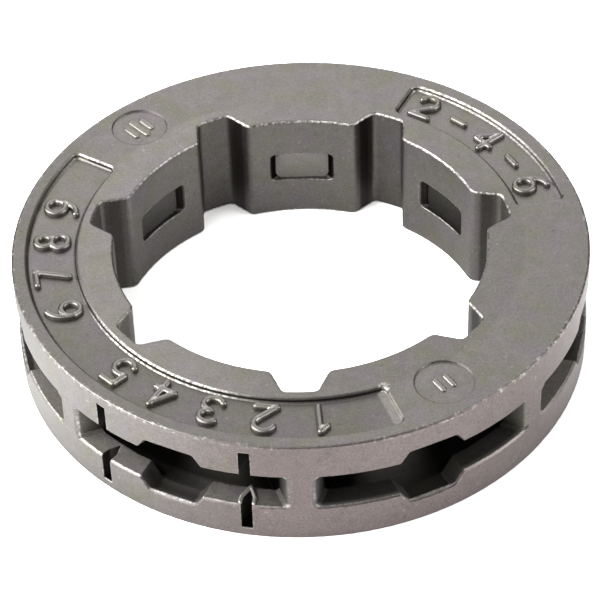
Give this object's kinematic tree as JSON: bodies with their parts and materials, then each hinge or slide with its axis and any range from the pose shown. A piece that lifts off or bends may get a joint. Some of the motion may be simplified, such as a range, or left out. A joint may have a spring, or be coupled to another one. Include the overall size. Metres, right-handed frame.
{
  "type": "rim sprocket",
  "caption": "Flat steel rim sprocket with a splined bore, a slotted chain track between rails, chip openings, bore windows and sunk label panels, for a chainsaw clutch drum.",
  "frame": {"origin": "middle of the lower face, on the bore's axis", "axes": "+Z along the bore's axis, away from the lower face; a spline groove and a drive tooth face -Y"},
  "size_m": [0.0342, 0.0342, 0.0073],
  "materials": {
    "cast_steel": "satin as-cast and tumbled steel"
  },
  "bodies": {
    "root": {"rim_sprocket": "cast_steel"}
  },
  "joints": []
}
